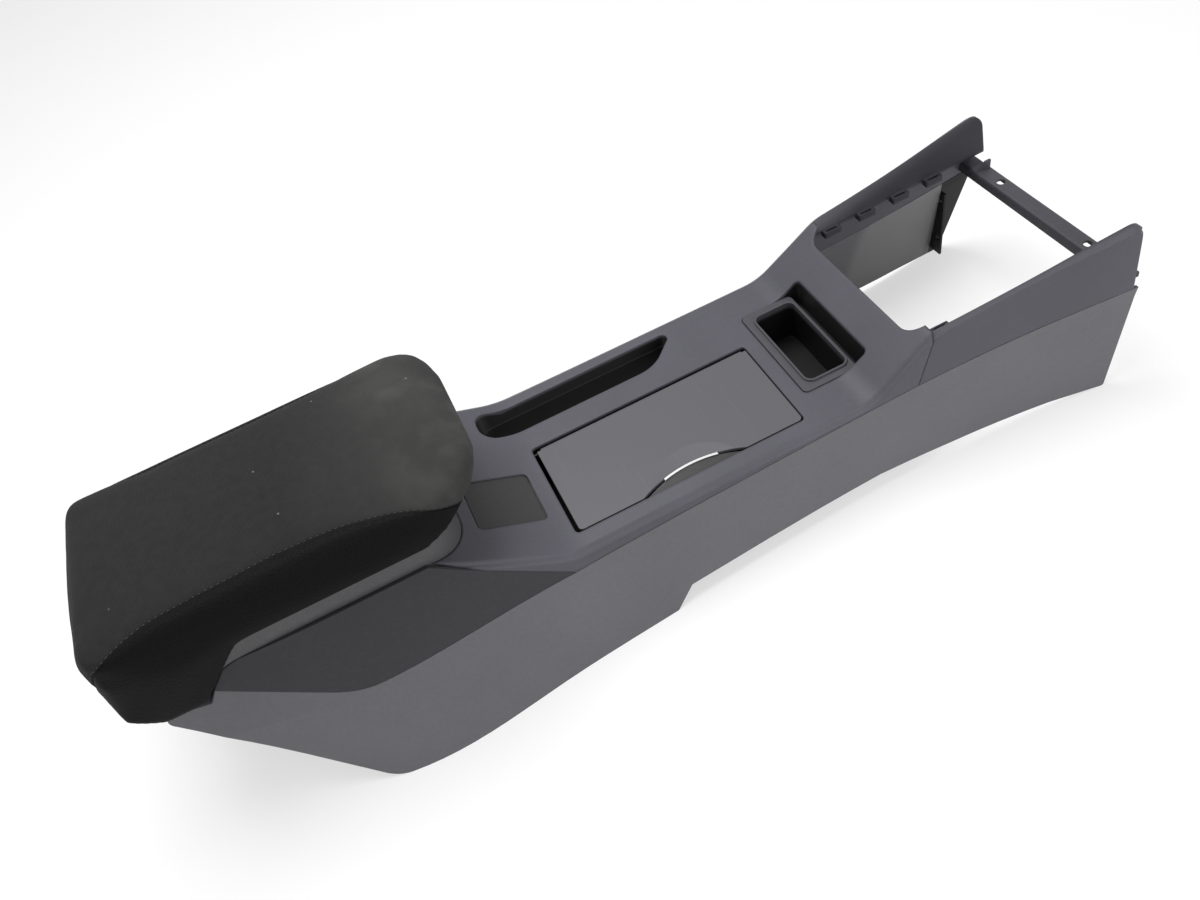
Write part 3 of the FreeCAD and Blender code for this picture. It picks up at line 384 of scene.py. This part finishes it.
def shown(name, mesh, body, look):
    """Link a finished mesh as a piece that rides on a body."""
    piece = bpy.data.objects.new(name, mesh)
    scene.collection.objects.link(piece)
    dress(mesh, look)
    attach(piece, body)
    return piece


def baked(obj):
    """The mesh of an object with its modifiers applied."""
    bpy.context.view_layer.update()
    view = bpy.context.evaluated_depsgraph_get()
    return bpy.data.meshes.new_from_object(obj.evaluated_get(view))


def puffed(mesh, held, reach):
    """Swell a closed mesh by cloth pressure; held points stay, and none moves further than reach."""
    start = [v.co.copy() for v in mesh.vertices]
    bag = bpy.data.objects.new("bag", mesh)
    scene.collection.objects.link(bag)
    pins = bag.vertex_groups.new(name="held")
    pins.add([i for i, co in enumerate(start) if held(co)], 1.0, "REPLACE")
    cloth = bag.modifiers.new("cloth", "CLOTH")
    cloth.settings.quality = 4
    cloth.settings.vertex_group_mass = "held"
    cloth.settings.use_pressure = True
    cloth.settings.uniform_pressure_force = 4.0
    cloth.settings.effector_weights.gravity = 0.0
    cloth.point_cache.frame_start = 1
    cloth.point_cache.frame_end = SWELL_FRAMES
    for step in range(1, SWELL_FRAMES + 1):
        scene.frame_set(step)
    swollen = baked(bag)
    for vertex, old in zip(swollen.vertices, start):
        moved = vertex.co - old
        if moved.length > reach:
            vertex.co = old + moved * (reach / moved.length)
    scene.frame_set(1)
    bpy.data.objects.remove(bag)
    eased(swollen, held, 8)
    return swollen


def eased(mesh, held, turns):
    """Smooth a mesh away from its held points."""
    build = bmesh.new()
    build.from_mesh(mesh)
    loose = [v for v in build.verts if not held(v.co)]
    for turn in range(turns):
        bmesh.ops.smooth_vert(
            build, verts=loose, factor=0.5, use_axis_x=True, use_axis_y=True, use_axis_z=True)
    build.to_mesh(mesh)
    build.free()


def pad_shape():
    """The pad's solid as even quads, with soft edges, rounder rear corners and a fuller nose."""
    build = bmesh.new()
    build.from_mesh(nodes["armrest_pad"].data)
    bmesh.ops.remove_doubles(build, verts=build.verts, dist=0.01 * MM)
    mesh = bpy.data.meshes.new("pad_copy")
    build.to_mesh(mesh)
    build.free()
    pad_copy = bpy.data.objects.new("pad_copy", mesh)
    scene.collection.objects.link(pad_copy)
    even = pad_copy.modifiers.new("even", "REMESH")
    even.mode = "VOXEL"
    even.voxel_size = EVEN_QUADS
    mesh = baked(pad_copy)
    bpy.data.objects.remove(pad_copy)
    eased(mesh, kept, 5)
    corner = Vector((pad_low.x + REAR_ROUND, pad_high.y - REAR_ROUND))
    for vertex in mesh.vertices:
        spot = Vector((vertex.co.x, abs(vertex.co.y)))
        out = spot - corner
        if out.x < 0 < out.y and out.length > REAR_ROUND:
            share = min(max((vertex.co.z - ROUND_FROM) / ROUND_OVER, 0), 1)
            spot -= out * (1 - REAR_ROUND / out.length) * share
            vertex.co.x = spot.x
            vertex.co.y = math.copysign(spot.y, vertex.co.y)
        if vertex.co.x > pad_high.x - NOSE_LONG and not kept(vertex.co):
            ahead = (vertex.co.x - pad_high.x + NOSE_LONG) / NOSE_LONG
            vertex.co.x += NOSE_BULGE * ahead ** 2
    return mesh


def inside_pan(co):
    """True in the hollow that takes the pan, and along its rim."""
    return (
        abs(co.y) < pan_high.y + 5 * MM
        and co.z < pan_high.z + 4 * MM
        and pad_low.x + 12 * MM < co.x < pan_high.x + 3 * MM
    )


# Lower outline of the pad seen from the side, in millimetres
HEM = [
    (-458, 212), (-458, 160), (-435, 137), (-401, 137), (-376, 163), (-351, 188), (-193, 188),
    (-157, 207), (-134, 207),
]
HEM_HELD = 5  # distance from the hem within which the cover stays put, in millimetres


def kept(co):
    """True where the cover is pulled tight: round the pan and along the hem."""
    spot = Vector((co.x / MM, co.z / MM))
    for start, end in zip(HEM, HEM[1:]):
        a = Vector(start)
        run = Vector(end) - a
        share = min(max((spot - a).dot(run) / run.length_squared, 0), 1)
        if (spot - a - run * share).length < HEM_HELD:
            return True
    return inside_pan(co)


fabric = Look("armrest_fabric")
side = fabric.node("ShaderNodeAttribute", {"attribute_name": "seam"}, {}, "Fac")
band = 1 - side.rise(-0.4, 0.4)
stitch_line = 1 - side.size().rise(0.2, 1.8)
along, across, height = fabric.axes()
ribs = (along * 3900.0).sine() * 0.5 + 0.5
picks = (across * 2600.0 + height * 2600.0).sine() * 0.5 + 0.5
weave = ribs * 0.65 + picks * 0.35
lint = fabric.cells(34.0).rise(0.0, 0.045)
slub = fabric.noise(140.0, 3.0)
worn = along.rise(-0.285, -0.165) * (0.55 + 0.45 * fabric.noise(16.0, 4.0).rise(0.4, 0.7))
greasy = along.rise(-0.22, -0.165) * fabric.noise(28.0, 5.0).rise(0.5, 0.66)
cloth_dark = fabric.mix(weave * 0.5 + slub * 0.5, grey(32), grey(50))
cloth_worn = fabric.mix(worn * 0.42 + greasy * 0.1, cloth_dark, grey(84, -0.015))
cloth_top = fabric.mix((1 - lint) * 0.55, cloth_worn, grey(150))
dots = fabric.cells(620.0)
hide = fabric.mix(dots.rise(0.15, 0.5), grey(4), grey(13))
both = fabric.mix(band, cloth_top, hide)
fabric.set(
    Base_Color=fabric.mix(stitch_line * 0.7, both, grey(14)),
    Roughness=0.86 - 0.2 * greasy * (1 - band) - 0.28 * band,
    Specular_IOR_Level=0.06,
    Sheen_Weight=0.02,
    Sheen_Roughness=0.5,
    Normal=fabric.bump(
        dots.rise(0.1, 0.6) * band + (1 - band) * (weave + slub * 0.6) * 0.8,
        0.22 * MM, 0.75, fabric.bump(1 - stitch_line, 1.0 * MM)),
)
thread = Look("seam_thread")
twist = (thread.axis("X") * 9000.0 + thread.axis("Z") * 5000.0).sine()
thread.set(
    Base_Color=thread.mix(twist * 0.5 + 0.5, grey(24), grey(44)),
    Roughness=0.62,
    Normal=thread.bump(twist, 0.05 * MM),
)

cover_mesh = pad_shape()
cover_mesh = puffed(cover_mesh, kept, SWELL_REACH)
cover = shown("armrest_cover", cover_mesh, "armrest_lid", fabric)
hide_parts("armrest_pad")
finer = cover.modifiers.new("finer", "SUBSURF")
finer.levels = finer.render_levels = 1
cover_mesh = baked(cover)
cover.modifiers.clear()
cover.data = cover_mesh
# The seam's groove, and how far from the seam each point is, in millimetres above it
GROOVE_DEEP = 1.1 * MM
GROOVE_WIDE = 2.2
UNDERSIDE = -20.0
seam_side = cover_mesh.attributes.new("seam", "FLOAT", "POINT")
normals = [v.normal.copy() for v in cover_mesh.vertices]
for vertex, normal in zip(cover_mesh.vertices, normals):
    off = (vertex.co.z - seam_height(vertex.co.x)) / MM
    if inside_pan(vertex.co):
        off = UNDERSIDE
    else:
        vertex.co -= normal * GROOVE_DEEP * math.exp(-(off / GROOVE_WIDE) ** 2)
    seam_side.data[vertex.index].value = off
cover_mesh.shade_smooth()


STITCHES_FROM = -448 * MM
STITCHES_TO = -156 * MM
OUTSIDE = 0.2  # a place beside the pad, from which the seam is looked for


def seam_stitches(pitch=4.6 * MM, length=3.1 * MM, half=0.42 * MM, proud=0.25 * MM, above=0.9 * MM):
    """Thread beside both side seams, one short stitch after another."""
    build = bmesh.new()
    skin = BVHTree.FromPolygons(
        [v.co for v in cover_mesh.vertices], [p.vertices for p in cover_mesh.polygons])
    for way in (-1, 1):
        points = []
        x = STITCHES_FROM
        while x < STITCHES_TO:
            aim = Vector((x, way * OUTSIDE, seam_height(x)))
            spot, normal = skin.ray_cast(aim, Vector((0, -way, 0)))[:2]
            if spot and (not points or (spot - points[-1][0]).length >= pitch):
                points.append((spot, normal))
            x += 0.3 * MM
        for (spot, normal), (ahead, other) in zip(points, points[1:]):
            run = (ahead - spot).normalized()
            out = (normal - run * normal.dot(run)).normalized()
            turn = Matrix((run, out.cross(run), out)).transposed().to_4x4()
            place = Matrix.Translation(spot + out * proud + turn.col[1].to_3d() * above)
            shape = Matrix.Diagonal((length / 2, half, half, 1))
            bmesh.ops.create_uvsphere(
                build, u_segments=6, v_segments=4, radius=1, matrix=place @ turn @ shape)
    mesh = bpy.data.meshes.new("seam_stitches")
    build.to_mesh(mesh)
    build.free()
    mesh.shade_smooth()
    return shown("seam_stitches", mesh, "armrest_lid", thread)


seam_stitches()


# Small pieces on the console

def block(build, low, high, bevel):
    """Add a box with softened edges between two corners, in millimetres."""
    low, high = Vector(low) * MM, Vector(high) * MM
    place = Matrix.Translation((low + high) / 2) @ Matrix.Diagonal((*(high - low), 1))
    made = bmesh.ops.create_cube(build, size=1, matrix=place)["verts"]
    edges = {e for v in made for e in v.link_edges}
    bmesh.ops.bevel(
        build, geom=list(edges), offset=bevel * MM, offset_type="OFFSET", affect="EDGES",
        segments=2, profile=0.5, material=-1)


def piece_from(build, name, body, look):
    """Turn a finished bmesh into a shown piece."""
    bmesh.ops.recalc_face_normals(build, faces=build.faces)
    mesh = bpy.data.meshes.new(name)
    build.to_mesh(mesh)
    build.free()
    return shown(name, mesh, body, look)


lid_low, lid_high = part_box("tray_lid")
strip_low, strip_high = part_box("lid_trim")


def finger_recess(depth=3.2 * MM, half=46 * MM, lift=1.6 * MM, sheet=0.8 * MM):
    """Sunk lens-shaped floor of the finger scallop, bowed along the strip and rising to it."""
    build = bmesh.new()
    centre = (strip_low.x + strip_high.x) / 2
    front_y = lid_low.y + 0.4 * MM
    ends = [build.verts.new((centre + way * half, front_y, lid_high.z - depth)) for way in (-1, 1)]
    edge = build.edges.new(ends)
    bmesh.ops.subdivide_edges(build, edges=[edge], cuts=23)
    made = bmesh.ops.extrude_edge_only(build, edges=list(build.edges))["geom"]
    bow = strip_low.y + 3.6 * MM - lid_low.y
    for vertex in (v for v in made if isinstance(v, bmesh.types.BMVert)):
        share = 1 - ((vertex.co.x - centre) / half) ** 2
        vertex.co.y += bow * max(share, 0.02)
        vertex.co.z += lift * share
    bmesh.ops.recalc_face_normals(build, faces=build.faces)
    bmesh.ops.solidify(build, geom=list(build.faces), thickness=sheet)
    return piece_from(build, "finger_recess", "tray_lid", recess_brown)


recess_brown = moulded("recess_plastic", 42, 0.0, 0.36, 1300.0, 0.02 * MM, 0.05 * MM)
finger_recess()

# Floor of the niche in front of the insert, near black as painted shade in the niche, in millimetres
NICHE_LOW = (206.1, -57, 91)
NICHE_HIGH = (215.9, 57, 93)
niche = bmesh.new()
block(niche, NICHE_LOW, NICHE_HIGH, 0.4)
piece_from(niche, "niche_floor", "console", inner_black)

# Backing that closes the slit behind the blank plate, near black as painted shade in the slit, in
# millimetres
PLATE_THICK = 2.5
BACKING_LAP = 1.2  # reach beyond the plate's edges
BACKING_LONG = 9
BACKING_DROP = 2.8  # below the plate's upper face
plate_low, plate_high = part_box("blank_plate")
backing = bmesh.new()
block(
    backing,
    (plate_low.x / MM - BACKING_LAP, plate_low.y / MM - BACKING_LAP, -1),
    (plate_low.x / MM + BACKING_LONG, plate_high.y / MM + BACKING_LAP, 0),
    0.2)
slope = (plate_high.z - plate_low.z - PLATE_THICK * MM) / (plate_high.x - plate_low.x)
for vertex in backing.verts:
    vertex.co.z += plate_high.z - BACKING_DROP * MM - slope * (vertex.co.x - plate_low.x)
piece_from(backing, "plate_backing", "console", inner_black)

# Low ribs on the ledge in the insert, in millimetres
RIBS = 9
RIB_PITCH = 4.4
RIB_HALF = 1.1
RIB_FIRST = -38.5
RIB_BACK, RIB_FRONT = 162.2, 171.5
RIB_FOOT, RIB_TOP = 83.9, 84.9
ribs_build = bmesh.new()
for count in range(RIBS):
    y = RIB_FIRST + RIB_PITCH * count
    block(ribs_build, (RIB_BACK, y - RIB_HALF, RIB_FOOT), (RIB_FRONT, y + RIB_HALF, RIB_TOP), 0.3)
rib_grey = moulded("ledge_plastic", 58, 0.0, 0.5, 1200.0, 0.03 * MM)
piece_from(ribs_build, "ledge_ribs", "console", rib_grey)

# Camera at the photograph's place
EYE = (-0.1278, -0.5534, 0.757)
RIGHT = Vector((0.8913, -0.4043, -0.2050)).normalized()
FORWARD = Vector((0.1129, 0.6360, -0.7636)).normalized()
turn = Matrix((RIGHT, RIGHT.cross(FORWARD), -FORWARD)).transposed().to_4x4()
camera = bpy.data.objects.new("camera", bpy.data.cameras.new("camera"))
camera.matrix_world = Matrix.Translation(EYE) @ turn
camera.data.lens = 28.5
camera.data.sensor_width = 36
scene.collection.objects.link(camera)
scene.camera = camera

# Pale floor that keeps the shadow
floor_mesh = bpy.data.meshes.new("floor")
floor_build = bmesh.new()
bmesh.ops.create_grid(floor_build, x_segments=1, y_segments=1, size=25.0)
floor_build.to_mesh(floor_mesh)
floor_build.free()
floor = bpy.data.objects.new("floor", floor_mesh)
scene.collection.objects.link(floor)
floor_look = Look("pale_floor")
floor_look.set(Base_Color=(0.9, 0.9, 0.9, 1), Roughness=0.75)
white = floor_look.node("ShaderNodeEmission", {}, {"Color": (1, 1, 1, 1), "Strength": 1.0})
plain = Wire(floor_look, floor_look.shader.outputs[0])
blend = floor_look.node("ShaderNodeMixShader", {}, {0: floor_look.seen() * 0.55, 1: plain, 2: white})
floor_look.feed(floor_look.tree.nodes["Material Output"].inputs[0], blend)
dress(floor_mesh, floor_look)

# Soft studio light, with a white surround for the camera and for reflections
world = bpy.data.worlds.new("studio")
scene.world = world
world.use_nodes = True
sky = Tree(world.node_tree)
surround = sky.tree.nodes["Background"]
sky.feed(surround.inputs["Color"], (1, 1, 1, 1))
sky.feed(surround.inputs["Strength"], 0.4 + 0.6 * sky.seen())


def lamp(name, place, aim, size, power):
    """A square lamp that faces a point."""
    data = bpy.data.lights.new(name, "AREA")
    data.size = size
    data.energy = power
    obj = bpy.data.objects.new(name, data)
    obj.location = place
    obj.rotation_euler = (Vector(aim) - Vector(place)).to_track_quat("-Z", "Y").to_euler()
    scene.collection.objects.link(obj)


lamp("key", (-0.2, 0.5, 2.0), (0.0, 0.0, 0.1), 1.2, 38)
lamp("fill", (0.85, -1.75, 0.9), (0.15, 0.0, 0.1), 1.2, 19)

scene.view_settings.view_transform = "Standard"
